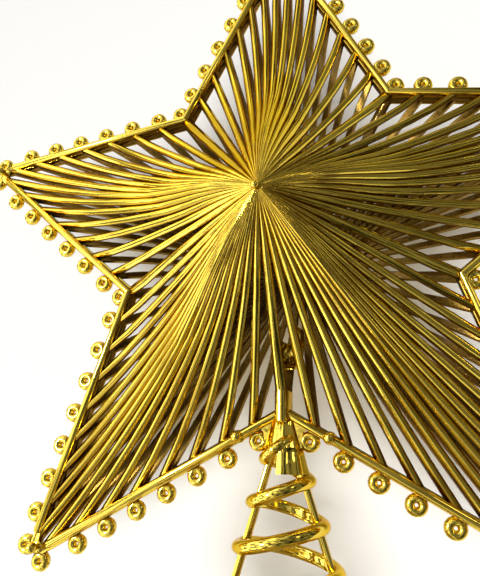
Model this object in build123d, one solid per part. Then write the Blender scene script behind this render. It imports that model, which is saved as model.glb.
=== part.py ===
from build123d import *

import os
from math import asin, atan2, cos, degrees, dist, pi, radians, sin, tan

os.makedirs("parts", exist_ok=True)

# Star outline: corners of the frame's centre line, as a radius from the hub axis
# and an angle from the top toward the left
upper_tip_radius = 92.5
lower_tip_radius = 99.0
upper_notch_radius = 46.7
side_notch_radius = 42.9
bottom_notch_radius = 42.9
upper_notch_angle = 36.5
side_tip_angle = 72.4
side_notch_angle = 107.0
lower_tip_angle = 141.3

# Frame bar, in one half above the parting plane
bar_width = 2.3
crest_width = 1.0
frame_height = 2.8
crest_drop = 0.7
tip_end_gap = 0.3

# Eyelet rings on the outside of the bars
ring_pitch = 8.4
ring_offset = 3.0
notch_ring_offset = 3.2
ring_radius = 2.4
ring_hole_radius = 0.85
ring_height = 1.3
ring_taper = 27
ring_sides = 6
hole_sides = 4
tip_ring_reach = 2.0
tip_ring_side = 2.75

# Ribs
apex_height = 30.4
rib_end_height = 2.1
rib_depth = 1.75
rib_inner_width = 1.5
rib_outer_width = 1.9
notch_rib_width = 2.8
even_run = 44.0
rib_tip_share = 0.55
web_depth = 2.0
web_groove = 0.5
web_limit_share = 0.55

# Hub
hub_radius = 5.0
hub_depth = 6.0
finial_radius = 1.05
finial_height = 1.9
finial_sink = 0.7

# Pins that hold the halves together
pin_radius = 0.55
pin_clearance = 0.05
pin_seat = 1.8
pin_head_radius = 1.1
pin_head_height = 1.9
pin_boss_radius = 1.5
pin_sides = 8
tip_pin_setback = 2.7
neck_pin_distance = 12.0

# Coil: wire section, winding and legs
wire_height = 3.0
wire_inner_reach = 0.9
wire_outer_reach = 1.3
wire_flat_height = 1.7
coil_start_radius = 2.0
coil_top_radius = 3.0
coil_growth = 1.45
coil_step = 4.6
coil_half_turns = 10
coil_end_gap = 0.7
coil_top_below_notch = 5.9
leg_width = 1.9
leg_depth = 1.6
leg_bite = 0.3

# Neck between the lowest notch and the coil
neck_top_radius = 3.1
neck_waist_radius = 3.8
neck_foot_radius = 4.6
neck_top_below_notch = 0.5
neck_waist_below_notch = 3.6
neck_foot_below_notch = 9.5
skirt_radius = 5.9
skirt_below_notch = 13.6
skirt_wall = 1.1
skirt_edge = 0.5
neck_sides = 12
stub_width = 2.9
stub_height = 4.6
stub_crown_share = 0.5
gusset_height = 1.3
gusset_run = 6.6
stub_below_notch = 4.1

# Light clip inside the star
clip_radius = 4.0
clip_wall = 1.1
clip_length = 9.0
clip_drop = 29.0
clip_sink = 0.35
clip_mouth = 4.2
clip_slit = 1.4

coil_top_drop = bottom_notch_radius + coil_top_below_notch
neck_top_drop = bottom_notch_radius + neck_top_below_notch
neck_waist_drop = bottom_notch_radius + neck_waist_below_notch
neck_foot_drop = bottom_notch_radius + neck_foot_below_notch
skirt_drop = bottom_notch_radius + skirt_below_notch
stub_drop = bottom_notch_radius + stub_below_notch
hub_z = coil_top_drop + coil_half_turns * coil_step + wire_height / 2
bar_half = bar_width / 2
star_plane = Plane(origin=(0, 0, hub_z), x_dir=(1, 0, 0), z_dir=(0, -1, 0))


def spoke(radius, angle):
    """Point in the star's plane, the angle counted from the top toward the left."""
    return Vector(-radius * sin(radians(angle)), radius * cos(radians(angle)))


def at_height(point, height):
    return Vector(point.X, point.Y, height)


top_tip = spoke(upper_tip_radius, 0)
upper_notch = spoke(upper_notch_radius, upper_notch_angle)
side_tip = spoke(upper_tip_radius, side_tip_angle)
side_notch = spoke(side_notch_radius, side_notch_angle)
lower_tip = spoke(lower_tip_radius, lower_tip_angle)
bottom_notch = spoke(bottom_notch_radius, 180)

left_edges = {
    "top_left": (upper_notch, top_tip),
    "left_upper": (upper_notch, side_tip),
    "left_lower": (side_notch, side_tip),
    "foot_left_outer": (side_notch, lower_tip),
    "foot_left_inner": (bottom_notch, lower_tip),
}


def faces_solid(polygons):
    return Solid(Shell([Face(Wire.make_polygon(points, close=True)) for points in polygons]))


def stacked_solid(outlines):
    """Solid between outlines with the same number of corners, one above the other."""
    polygons = [outlines[0], outlines[-1]]
    for low, high in zip(outlines, outlines[1:]):
        for k in range(len(low)):
            polygons.append([low[k - 1], low[k], high[k], high[k - 1]])
    return faces_solid(polygons)


def strip(a, b, c, d):
    """Two triangles over a four-cornered patch that may be twisted."""
    return [[a, b, c], [a, c, d]]


def rib_solid(first, middle, last, whole):
    """Solid between a rib's corners at the hub, at the end of the web and at the bar.

    A rib that isn't whole is cut along its ridge, where it meets its mirror image.
    """
    low_first, low_groove_first, ridge_first, groove_first, high_first = first
    low_middle, low_groove_middle, ridge_middle, groove_middle, high_middle = middle
    low_last, ridge_last, high_last = last
    faces = strip(low_first, high_first, high_middle, low_middle)
    faces += strip(low_middle, high_middle, high_last, low_last)
    faces += strip(groove_first, ridge_first, ridge_middle, groove_middle)
    faces += strip(groove_middle, ridge_middle, ridge_last, high_last)
    faces += [[high_first, groove_first, groove_middle, high_middle], [high_middle, groove_middle, high_last]]
    faces += [[low_last, high_last, ridge_last]]
    if whole:
        faces += [first]
        faces += strip(ridge_first, low_groove_first, low_groove_middle, ridge_middle)
        faces += strip(ridge_middle, low_groove_middle, low_last, ridge_last)
        faces += [[low_first, low_groove_first, low_groove_middle, low_middle]]
        faces += [[low_middle, low_groove_middle, low_last]]
    else:
        faces += [[low_first, ridge_first, groove_first, high_first]]
        faces += [[low_first, low_middle, low_last, ridge_last, ridge_middle, ridge_first]]
    return faces_solid(faces)


class Edge:
    """One straight edge of the star, from its notch to its tip, with the ribs that reach it."""

    def __init__(self, notch, tip):
        self.notch = notch
        self.tip = tip
        self.length = (tip - notch).length
        self.along = (tip - notch).normalized()
        across = Vector(-self.along.Y, self.along.X)
        self.outward = across if across.dot(notch) > 0 else -across
        self.distance = notch.dot(self.outward)
        self.notch_way = notch.normalized()
        self.tip_way = tip.normalized()
        turn = self.notch_way.X * self.tip_way.Y - self.notch_way.Y * self.tip_way.X
        self.turn = 1 if turn > 0 else -1
        self.tip_angle = asin(abs(turn))
        self.count = int(self.length // ring_pitch)
        ends = [notch + self.along * (self.length * i / (self.count + rib_tip_share))
                for i in range(self.count + 1)]
        self.angles = [self.angle_of(end) for end in ends]

    def angle_of(self, point):
        way = point.normalized()
        cross = self.notch_way.X * way.Y - self.notch_way.Y * way.X
        return asin(abs(cross))

    def way(self, angle):
        """Unit vector at an angle from the notch toward the tip."""
        start = atan2(self.notch_way.Y, self.notch_way.X) + self.turn * angle
        return Vector(cos(start), sin(start))

    def side(self, angle):
        return self.way(angle + pi / 2)

    def reach(self, angle):
        """Distance from the hub axis to the bar's inner wall."""
        return (self.distance - bar_half) / self.way(angle).dot(self.outward)

    def hub_reach(self, angle):
        """Distance from the hub axis to the hub's own side."""
        return hub_radius * cos(self.tip_angle / 2) / cos(angle - self.tip_angle / 2)

    def web_end(self, i):
        """Distance at which a rib leaves the web."""
        if i == 0:
            free = notch_rib_width / 2 / tan(self.angles[1] / 2)
        else:
            after = self.angles[i + 1] if i < self.count else 2 * self.tip_angle - self.angles[i]
            free = rib_inner_width / ((after - self.angles[i - 1]) / 2)
        return min(free, web_limit_share * self.reach(self.angles[i]))

    def ridge(self, i, radius):
        """Height of a rib's ridge above the parting plane, bent where a rib is longer than the even run."""
        run = self.reach(self.angles[i])
        knot = self.web_end(i)
        fall = apex_height - rib_end_height
        knot_height = rib_end_height + fall * (1 - knot / run) ** (run / even_run)
        if radius <= knot:
            return apex_height + (knot_height - apex_height) * radius / knot
        return knot_height + (rib_end_height - knot_height) * (radius - knot) / (run - knot)

    def valley(self, i, radius):
        """Height of the groove between a rib and the next one toward the tip."""
        after = min(i + 1, self.count)
        return (self.ridge(i, radius) + self.ridge(after, radius)) / 2 - web_groove

    def rib(self, i):
        """One roof-shaped rib, lofted from the hub over the end of the web to the bar."""
        angle = self.angles[i]
        after = (angle + self.angles[i + 1]) / 2 if i < self.count else self.tip_angle
        before = (angle + self.angles[i - 1]) / 2 if i else angle
        way = self.way(angle)
        side = self.side(angle)

        def section(low_radius, radius, high_radius):
            """Corners of the rib across the web: bottom, groove, ridge, groove and bottom."""
            low_way = self.way(before)
            high_way = self.way(after)
            floor = self.ridge(i, radius) - web_depth
            low_groove = self.valley(i - 1, low_radius) if i else self.ridge(0, low_radius)
            return [
                at_height(low_way * low_radius, floor),
                at_height(low_way * low_radius, low_groove),
                at_height(way * radius, self.ridge(i, radius)),
                at_height(high_way * high_radius, self.valley(i, high_radius)),
                at_height(high_way * high_radius, floor),
            ]

        knot = self.web_end(i)
        first = section(self.hub_reach(before), self.hub_reach(angle), self.hub_reach(after))
        middle = section(knot / cos(angle - before), knot, knot / cos(after - angle))
        half = (rib_outer_width if i else notch_rib_width) / 2
        low_half = half if i else 0
        lean = side.dot(self.outward) / way.dot(self.outward)
        run = self.reach(angle)
        floor = rib_end_height - rib_depth
        low_end = at_height(way * (run + low_half * lean) - side * low_half, floor)
        high_end = at_height(way * (run - half * lean) + side * half, floor)
        ridge_end = at_height(way * run, rib_end_height)
        return rib_solid(first, middle, [low_end, ridge_end, high_end], bool(i))

    def ribs(self):
        return Part() + [self.rib(i) for i in range(self.count + 1)]

    def outline(self, half, tip_cut):
        """Outline of the bar for a half width, cut square across the tip."""
        notch_step = half / self.notch_way.dot(self.outward)
        tip_step = half / self.tip_way.dot(self.outward)
        outer_notch = self.notch + self.notch_way * notch_step
        inner_notch = self.notch - self.notch_way * notch_step
        run = (tip_cut - outer_notch.dot(self.tip_way)) / self.along.dot(self.tip_way)
        outer_tip = outer_notch + self.along * run
        inner_tip = self.tip - self.tip_way * tip_step
        return [outer_notch, outer_tip, self.tip_way * tip_cut, inner_tip, inner_notch]

    def pin_point(self):
        return self.tip_way * (self.tip.length - tip_pin_setback)

    def ring_points(self):
        row = [self.notch + self.along * (ring_pitch * i) + self.outward * ring_offset
               for i in range(1, self.count)]
        pin = self.pin_point()
        across = self.outward - self.tip_way * self.outward.dot(self.tip_way)
        row.append(pin + self.tip_way * tip_ring_reach + across.normalized() * tip_ring_side)
        return row

    def bar(self, neck_pin):
        """Frame bar with its rings, mitred at the notch and the tip."""
        tip_cut = self.tip.length - tip_end_gap
        wall = self.outline(bar_half, tip_cut)
        crest = self.outline(crest_width / 2, tip_cut - crest_drop / 2)
        levels = [(wall, 0), (wall, frame_height - crest_drop), (crest, frame_height)]
        solid = stacked_solid([[at_height(p, height) for p in points] for points, height in levels])
        spin = degrees(atan2(self.outward.Y, self.outward.X)) + 180 / ring_sides
        eyelets = [Pos(p.X, p.Y, 0) * Rot(0, 0, spin) * ring for p in self.ring_points()]
        if neck_pin:
            pin = self.notch + self.along * neck_pin_distance
            boss = extrude(RegularPolygon(pin_boss_radius, pin_sides), frame_height)
            eyelets.append(Pos(pin.X, pin.Y, 0) * boss)
        else:
            spot = self.notch + self.notch_way * notch_ring_offset
            spin = degrees(atan2(self.notch_way.Y, self.notch_way.X)) + 180 / ring_sides
            whole = Pos(spot.X, spot.Y, 0) * Rot(0, 0, spin) * ring
            mitre = Plane(origin=(0, 0, 0), x_dir=self.notch_way, z_dir=self.side(0))
            eyelets.append(split(whole, bisect_by=mitre, keep=Keep.TOP))
        return Part() + solid + eyelets


def octagon_prism(radius, low, high):
    return Pos(0, 0, low) * extrude(RegularPolygon(radius, pin_sides), high - low)


def knob(radius, height):
    """Eight-sided ball, a third of its height bevelled at each end."""
    block = extrude(RegularPolygon(radius, pin_sides), height)
    return chamfer(block.faces().filter_by(GeomType.PLANE).sort_by(Axis.Z)[0].edges()
                   + block.faces().sort_by(Axis.Z)[-1].edges(), height / 3)


# One eyelet: a tapered ring with a hole through it
ring = extrude(RegularPolygon(ring_radius, ring_sides), ring_height, taper=ring_taper)
ring -= extrude(RegularPolygon(ring_hole_radius, hole_sides), ring_height)

edges = {name: Edge(notch, tip) for name, (notch, tip) in left_edges.items()}


def pin_solid():
    """Pin with a ball head, its shaft through the front half and into the back half."""
    shaft = octagon_prism(pin_radius, -pin_seat, frame_height)
    return shaft + Pos(0, 0, frame_height) * knob(pin_head_radius, pin_head_height)


foot = edges["foot_left_inner"]
neck_pin_point = foot.notch + foot.along * neck_pin_distance
pin_hole = octagon_prism(pin_radius + pin_clearance, 0, frame_height)
pin_pocket = octagon_prism(pin_radius + pin_clearance, 0, pin_seat)


def hub_solid():
    """Faceted hub with ridges toward the tips, grooves toward the notches and a ball finial."""
    rim = []
    for name, edge in edges.items():
        notch_point = at_height(edge.notch_way * hub_radius, edge.ridge(0, hub_radius))
        tip_point = at_height(edge.tip_way * hub_radius, edge.ridge(edge.count, hub_radius))
        rim += [notch_point, tip_point]
    order = {round(degrees(atan2(-p.X, p.Y)) % 360, 3): p for p in rim}
    left = [order[key] for key in sorted(order)]
    right = [Vector(-p.X, p.Y, p.Z) for p in reversed(left[1:-1])]
    top = left + right
    apex = Vector(0, 0, apex_height)
    base = [at_height(p, apex_height - hub_depth) for p in top]
    count = len(top)
    polygons = [base]
    for i in range(count):
        after = (i + 1) % count
        polygons.append([top[i], top[after], apex])
        polygons.append([base[i], base[after], top[after], top[i]])
    return faces_solid(polygons) + Pos(0, 0, apex_height - finial_sink) * knob(finial_radius, finial_height)


def coil_knots():
    """Ends of the half turns on the parting plane, from the neck down to the flat last turn."""
    knots = []
    for k in range(coil_half_turns + 1):
        side = 1 if k % 2 == 0 else -1
        radius = coil_top_radius + coil_growth * k if k else coil_start_radius
        knots.append((side * radius, hub_z - coil_top_drop - coil_step * k))
    last_x, last_z = knots[-1]
    knots.append((-last_x, last_z))
    knots.append((last_x + wire_inner_reach + wire_outer_reach + coil_end_gap, last_z))
    return knots


def coil_arcs():
    arcs = []
    knots = coil_knots()
    for k in range(len(knots) - 1):
        (x0, z0), (x1, z1) = knots[k], knots[k + 1]
        front = -1 if k % 2 == 0 else 1
        radius = dist((x0, z0), (x1, z1)) / 2
        middle = ((x0 + x1) / 2, front * radius, (z0 + z1) / 2)
        arcs.append(ThreePointArc((x0, 0, z0), middle, (x1, 0, z1)))
    return arcs


def wire_section(x, z):
    inner = x - wire_inner_reach
    outer = x + wire_outer_reach
    half = wire_height / 2
    flat = wire_flat_height / 2
    points = [(inner, z - half), (outer, z - flat), (outer, z + flat), (inner, z + half)]
    return Face(Wire.make_polygon([Vector(px, 0, pz) for px, pz in points], close=True))


arcs = coil_arcs()
start_x, start_z = coil_knots()[0]
path = Wire(arcs)
coil = sweep(wire_section(start_x, start_z), path=path, binormal=Pos(0, 0, wire_height) * path)


def wire_points(arcs, samples=16):
    """Corners of the wire's section along each half turn."""
    reaches = [(-wire_inner_reach, wire_height), (wire_outer_reach, wire_flat_height)]
    rows = []
    for arc in arcs:
        row = []
        for s in range(samples + 1):
            spot = arc @ (s / samples)
            tangent = arc % (s / samples)
            outward = Vector(-tangent.Y, tangent.X).normalized()
            outward = outward if outward.dot(Vector(spot.X, spot.Y)) > 0 else -outward
            for reach, height in reaches:
                edge_point = spot + outward * reach
                row += [tuple(edge_point + Vector(0, 0, side * height / 2)) for side in (-1, 0, 1)]
        rows.append(row)
    return rows


def least_gap(arcs):
    """Least distance between turns of the wire that don't follow straight on each other."""
    rows = wire_points(arcs)
    gaps = []
    for k, row in enumerate(rows):
        for other in rows[k + 2:]:
            gaps.append(min(dist(a, b) for a in row for b in other))
    return min(gaps)


print("least gap between the coil's turns, mm:", round(least_gap(arcs), 3))


def leg(side):
    """Straight leg inside the coil on the parting plane, seated on the wire's inner face."""
    slope = coil_growth / coil_step
    set_in = wire_inner_reach + leg_depth / 2 - leg_bite
    top_drop = neck_foot_drop - coil_top_drop
    foot_drop = coil_half_turns * coil_step + wire_flat_height / 2
    foot_z = (wire_height - wire_flat_height) / 2
    top_x = coil_top_radius + slope * top_drop - set_in
    foot_x = coil_top_radius + slope * foot_drop - set_in
    half = leg_depth / 2
    top_z = hub_z - neck_foot_drop
    profile = [(side * (top_x - half), top_z), (side * (top_x + half), top_z)]
    profile += [(side * (foot_x + half), foot_z), (side * (foot_x - half), foot_z)]
    face = Face(Wire.make_polygon([Vector(x, -leg_width / 2, z) for x, z in profile], close=True))
    bar = Solid.extrude(face, Vector(0, leg_width, 0))
    return bar - coil


def neck_ring(radius, drop):
    """Half outline of the neck in front of the parting plane, at a drop below the hub axis."""
    points = []
    for k in range(neck_sides // 2 + 1):
        angle = 2 * pi * k / neck_sides
        points.append(Vector(radius * cos(angle), -drop, radius * sin(angle)))
    return points


def skirt_ring(radius, drop):
    """Outline of the skirt's wall on the right of the neck."""
    outer = [p for p in neck_ring(radius, drop) if p.X > -skirt_edge]
    inner = [Vector(p.X, p.Y, p.Z) for p in neck_ring(radius - skirt_wall, drop) if p.X > -skirt_edge]
    return outer + inner[::-1]


def neck_half(with_skirt):
    """Half of the neck: a stub over the notch, a waisted body, gussets and a skirt on the right."""
    levels = [(neck_top_radius, neck_top_drop), (neck_waist_radius, neck_waist_drop)]
    levels.append((neck_foot_radius, neck_foot_drop))
    body = stacked_solid([neck_ring(radius, drop) for radius, drop in levels])
    if with_skirt:
        rims = [(neck_foot_radius, neck_foot_drop), (skirt_radius, skirt_drop)]
        body += stacked_solid([skirt_ring(radius, drop) for radius, drop in rims])
    arm = bottom_notch + foot.along * gusset_run
    plate = [(0, -bottom_notch_radius), (arm.X, arm.Y), (-neck_foot_radius, -neck_foot_drop)]
    plate += [(neck_foot_radius, -neck_foot_drop), (-arm.X, arm.Y)]
    body += extrude(make_face(Polyline(*plate, close=True)), gusset_height)
    start = bottom_notch_radius - bar_half / foot.notch_way.dot(foot.outward)
    half = stub_width / 2
    shoulder = stub_height - half
    crown = half * stub_crown_share
    arch = [(-half, 0), (half, 0), (half, shoulder)]
    arch += [(crown, stub_height), (-crown, stub_height), (-half, shoulder)]
    ends = [[Vector(x, -drop, z) for x, z in arch] for drop in (start, stub_drop)]
    stub = stacked_solid(ends)
    corner = Vector(0, -start)
    left = corner + foot.along * stub_width
    inside = Polyline(corner, left, (left.X, 0), (-left.X, 0), (-left.X, left.Y), close=True)
    return body + (stub - extrude(make_face(inside), stub_height))


def clip_solid():
    """Split sleeve that holds a light, seated on the inner face of the back half's lowest rib."""
    rib_run = foot.reach(0)
    knot = foot.web_end(0)
    knot_floor = foot.ridge(0, knot) - web_depth
    end_floor = rib_end_height - rib_depth
    slope = (knot_floor - end_floor) / (rib_run - knot)
    floor = knot_floor - slope * (clip_drop - knot)
    sleeve = Cylinder(clip_radius, clip_length) - Cylinder(clip_radius - clip_wall, clip_length)
    mouth = Pos(0, clip_radius / 2, 0) * Box(clip_mouth, clip_radius, clip_length)
    slit = Pos(0, clip_radius / 2, 0) * Box(2 * clip_radius, clip_radius, clip_slit)
    sleeve = sleeve - mouth - slit
    seat = Pos(0, -clip_radius - clip_radius + clip_sink, 0)
    sleeve -= seat * Box(2 * clip_radius, 2 * clip_radius, clip_length)
    down = Vector(0, -1, slope).normalized()
    out = Vector(0, slope, 1).normalized()
    base = Vector(0, -clip_drop, -floor)
    origin = base + out * (clip_radius - clip_sink)
    place = Plane(origin=origin, x_dir=out.cross(down), z_dir=down)
    return place * sleeve


def save(name, shape):
    shape.label = name
    export_step(shape, f"parts/{name}.step")


def to_right(name):
    return name.replace("left", "right")


def to_row(shape):
    return star_plane * shape


rib_parts = {}
bar_parts = {}
for name, edge in edges.items():
    on_neck = name == "foot_left_inner"
    panel = edge.ribs()
    bar = edge.bar(on_neck)
    tip_spot = edge.pin_point()
    spots = [tip_spot, neck_pin_point] if on_neck else [tip_spot]
    front_bar = bar - [Pos(p.X, p.Y, 0) * pin_hole for p in spots]
    back_bar = bar - [Pos(p.X, p.Y, 0) * pin_pocket for p in spots]
    for half_name, half_bar in (("front", front_bar), ("back", back_bar)):
        pair = []
        for piece in (half_bar, panel):
            placed = to_row(piece)
            pair.append(placed if half_name == "front" else mirror(placed, about=Plane.XZ))
        bar_parts[f"{half_name}_bar_{name}"] = pair[0]
        rib_parts[f"{half_name}_ribs_{name}"] = pair[1]
        bar_parts[f"{half_name}_bar_{to_right(name)}"] = mirror(pair[0], about=Plane.YZ)
        rib_parts[f"{half_name}_ribs_{to_right(name)}"] = mirror(pair[1], about=Plane.YZ)

for name, shape in {**bar_parts, **rib_parts}.items():
    save(name, shape)

hub = to_row(hub_solid())
save("front_hub", hub)
save("back_hub", mirror(hub, about=Plane.XZ))

save("coil", coil)
legs = {"leg_left": leg(-1), "leg_right": leg(1)}
for name, shape in legs.items():
    save(name, shape)

for half_name in ("front", "back"):
    front = half_name == "front"
    piece = to_row(neck_half(front))
    piece = piece if front else mirror(piece, about=Plane.XZ)
    bars = [bar_parts[f"{half_name}_bar_foot_{side}_inner"] for side in ("left", "right")]
    save(f"{half_name}_neck", piece - bars - coil - list(legs.values()))

pin = pin_solid()
tip_spots = [edges[name].pin_point() for name in ("top_left", "left_upper", "foot_left_outer")]
tip_spots += [Vector(-p.X, p.Y) for p in tip_spots[1:]]
neck_spots = [neck_pin_point, Vector(-neck_pin_point.X, neck_pin_point.Y)]
save("tip_pins", Compound(children=[to_row(Pos(p.X, p.Y, 0) * pin) for p in tip_spots]))
save("neck_pins", Compound(children=[to_row(Pos(p.X, p.Y, 0) * pin) for p in neck_spots]))
save("light_clip", to_row(clip_solid()))
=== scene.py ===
# %% [markdown]
# # A gold star for the top of a tree
# The star is two mirror-image mouldings of bright plated plastic, pinned together at the tips.
# Each half has straight frame bars with eyelet rings, and fans of ribs that run up to a ball at
# the hub. Below the star a short neck carries a cone-shaped coil that slips over the top shoot of
# a tree. The solid model is loaded first, because it gives the place and the size of every piece.

# %% Load the solid model
from math import asin, atan2, cos, dist, pi, radians, sin

import bmesh
import bpy
from mathutils import Matrix, Vector


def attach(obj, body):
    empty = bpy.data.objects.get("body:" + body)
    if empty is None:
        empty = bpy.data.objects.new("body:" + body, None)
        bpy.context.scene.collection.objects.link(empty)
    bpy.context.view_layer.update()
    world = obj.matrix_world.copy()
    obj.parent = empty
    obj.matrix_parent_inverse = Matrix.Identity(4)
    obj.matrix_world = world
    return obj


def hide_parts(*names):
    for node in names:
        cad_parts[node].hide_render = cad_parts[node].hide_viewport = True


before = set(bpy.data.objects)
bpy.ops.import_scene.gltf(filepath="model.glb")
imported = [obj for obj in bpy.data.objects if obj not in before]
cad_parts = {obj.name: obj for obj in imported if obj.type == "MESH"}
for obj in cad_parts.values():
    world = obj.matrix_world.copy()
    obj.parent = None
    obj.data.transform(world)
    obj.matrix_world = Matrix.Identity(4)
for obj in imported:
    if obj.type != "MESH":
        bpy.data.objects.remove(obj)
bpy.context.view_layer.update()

print("solid nodes:", len(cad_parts))

# %% [markdown]
# ## Units and the star's own plane
# The real thing is measured in millimetres, and Blender works in metres, so one factor turns one
# into the other. Every length below is in millimetres, unless it is said to be in metres.
# The star stands upright and faces the reader, so a point on its face has an x across, a y up from
# the hub and a height that comes forward from the plane where the two halves meet.

# %% Units
MM = 0.001
HUB_Z = 96.3


def on_star(x, y, height):
    """Point of the star in metres, from millimetres across, up from the hub and forward."""
    return Vector((x, -height, HUB_Z + y)) * MM


def spoke(radius, angle):
    """Point in the star's plane, the angle counted from the top toward the left."""
    return Vector((-radius * sin(radians(angle)), radius * cos(radians(angle))))


def cross(a, b):
    """Cross product of two ways in the star's plane."""
    return a.x * b.y - a.y * b.x


def size_mm(piece):
    """Sides of a piece's box in millimetres, to print."""
    return [round(size / MM, 1) for size in piece.dimensions]


# %% [markdown]
# ## The outline
# The five points aren't alike: the two lower ones are a little longer, as on the real star.
# Only the left edges are written down. The right ones are their mirror images.

# %% Outline of the star
top_tip = spoke(92.5, 0)
upper_notch = spoke(46.7, 36.5)
side_tip = spoke(92.5, 72.4)
side_notch = spoke(42.9, 107.0)
lower_tip = spoke(99.0, 141.3)
bottom_notch = spoke(42.9, 180)

left_edges = {
    "top_left": (upper_notch, top_tip),
    "left_upper": (upper_notch, side_tip),
    "left_lower": (side_notch, side_tip),
    "foot_left_outer": (side_notch, lower_tip),
    "foot_left_inner": (bottom_notch, lower_tip),
}

RING_PITCH = 8.4
TIP_SHARE = 0.55
BAR_HALF = 1.15
TIP_SETBACK = 2.7


class Edge:
    """One straight edge of the star, from its notch to its tip, with the ribs that reach it."""

    def __init__(self, notch, tip):
        self.notch = notch
        self.tip = tip
        self.length = (tip - notch).length
        self.along = (tip - notch).normalized()
        across = Vector((-self.along.y, self.along.x))
        self.outward = across if across.dot(notch) > 0 else -across
        self.distance = notch.dot(self.outward)
        self.notch_way = notch.normalized()
        self.tip_way = tip.normalized()
        self.turn = 1 if cross(self.notch_way, self.tip_way) > 0 else -1
        self.tip_angle = self.angle_of(tip)
        self.count = int(self.length // RING_PITCH)
        step = self.length / (self.count + TIP_SHARE)
        spots = [notch + self.along * (step * i) for i in range(self.count + 1)]
        self.angles = [self.angle_of(spot) for spot in spots]
        self.pin = self.tip_way * (tip.length - TIP_SETBACK)

    def angle_of(self, point):
        """Angle at the hub between the notch and a point, in radians."""
        return asin(abs(cross(self.notch_way, point.normalized())))

    def way(self, angle):
        """Way out from the hub at an angle from the notch."""
        start = atan2(self.notch_way.y, self.notch_way.x) + self.turn * angle
        return Vector((cos(start), sin(start)))

    def reach(self, angle):
        """Distance from the hub axis to the bar's inner wall."""
        return (self.distance - BAR_HALF) / self.way(angle).dot(self.outward)


edges = {name: Edge(notch, tip) for name, (notch, tip) in left_edges.items()}
for name, edge in edges.items():
    print(name, "length", round(edge.length, 1), "mm,", edge.count, "ribs and half a notch rib")

# %% [markdown]
# ## Drawing a bar through stations
# Most pieces are long bars whose outline changes along the way. By hand, one draws the first
# outline as a filled circle, then extrudes it again and again and drags each new outline into
# place. This helper does just that.

# %% Helper: extrude an outline from station to station
START_CIRCLE = 0.01  # metres


def deselect():
    if bpy.context.object and bpy.context.object.mode != "OBJECT":
        bpy.ops.object.mode_set(mode="OBJECT")
    bpy.ops.object.select_all(action="DESELECT")


def pick(*pieces):
    """Selects these pieces alone and makes the first one active."""
    deselect()
    for piece in pieces:
        piece.select_set(True)
    bpy.context.view_layer.objects.active = pieces[0]


def face_outward():
    """Turns all the faces of the active piece outward and leaves edit mode."""
    bpy.ops.object.mode_set(mode="EDIT")
    bpy.ops.mesh.select_all(action="SELECT")
    bpy.ops.mesh.normals_make_consistent(inside=False)
    bpy.ops.object.mode_set(mode="OBJECT")


def settle(mesh, before, after):
    """Moves the selected corners of the mesh in edit mode from one outline to the next."""
    shape = bmesh.from_edit_mesh(mesh)
    for corner in [v for v in shape.verts if v.select]:
        nearest = min(range(len(before)), key=lambda k: (before[k] - corner.co).length_squared)
        corner.co = after[nearest]
    bmesh.update_edit_mesh(mesh)


def extruded(name, outlines):
    """A closed bar through outlines that all have the same number of corners, in metres."""
    deselect()
    sides = len(outlines[0])
    bpy.ops.mesh.primitive_circle_add(vertices=sides, radius=START_CIRCLE, fill_type="NGON")
    piece = bpy.context.object
    piece.name = name
    circle = [v.co.copy() for v in piece.data.vertices]
    bpy.ops.object.mode_set(mode="EDIT")
    bpy.ops.mesh.select_all(action="SELECT")
    settle(piece.data, circle, outlines[0])
    for before, after in zip(outlines, outlines[1:]):
        bpy.ops.mesh.extrude_region_move()
        settle(piece.data, before, after)
    face_outward()
    return piece


# %% Helpers: join, smooth, copy and mirror


def joined(name, parts):
    """Several parts as one object, named for the piece."""
    pick(*parts)
    if len(parts) > 1:
        bpy.ops.object.join()
    piece = bpy.context.object
    piece.name = name
    return piece


def smoothed(piece, angle):
    """Shades a piece smooth, but for the edges that turn by more than the angle in degrees."""
    pick(piece)
    bpy.ops.object.shade_smooth_by_angle(angle=radians(angle))
    return piece


def copied(piece):
    """A copy with its own mesh."""
    pick(piece)
    bpy.ops.object.duplicate()
    return bpy.context.object


def mirrored(piece, name, x_side, y_side):
    """A copy that is mirrored to the right (x) or to the back half (y)."""
    copy = copied(piece)
    copy.name = name
    copy.scale = (x_side, y_side, 1)
    bpy.ops.object.transform_apply(location=False, rotation=False, scale=True)
    face_outward()
    return copy


# %% [markdown]
# ## The ribs
# A rib is a slim bar with a peaked roof and a small round ridge. It leaves the hub along the flat
# face of a folded star, and farther out it falls in a hollow curve to the frame, straight at a
# notch and more and more hollow toward a tip.
# Near the hub the ribs stand so close that they run into each other and leave only the fine
# grooves that are seen there. So a rib is as wide as its place allows, and its roof leans with the
# face that it is part of.
# The rib at a notch is wider and belongs half to each of its two panels, so it is cut along its
# ridge.

# %% Heights of the ribs
APEX = 30.4
RIB_END = 2.1
EVEN_RUN = 44.0
bend_shares = (0.05, 0.45)


def eased(value, start, stop):
    """Smooth step from 0 to 1 between start and stop."""
    t = min(1, max(0, (value - start) / (stop - start)))
    return t * t * (3 - 2 * t)


def ridge_height(edge, angle, radius):
    """Height of a panel's face at an angle from its notch and a distance from the hub axis."""
    run = edge.reach(angle)
    share = min(1, radius / run)
    hollow = 1 + (run / EVEN_RUN - 1) * eased(share, *bend_shares)
    return RIB_END + (APEX - RIB_END) * (1 - share) ** hollow


# %% Ribs
RIB_DEPTH = 1.75
INNER_WIDTH = 1.65
OUTER_WIDTH = 2.15
NOTCH_WIDTH = 2.8
RIB_ROOT = 0.9
RIB_BURY = 0.5
RIB_OVERLAP = 1.06  # near the hub a rib is this much wider than its place, to leave no slit
LEAN_STEP = 0.01  # radians to either side, between which the lean of the face is taken
RIB_SHARP = 50
# How far along the rib each outline stands, as a share of the way to the frame.
station_shares = (0.05, 0.1, 0.16, 0.23, 0.31, 0.4, 0.5, 0.62, 0.75, 0.88, 1.0)
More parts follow.
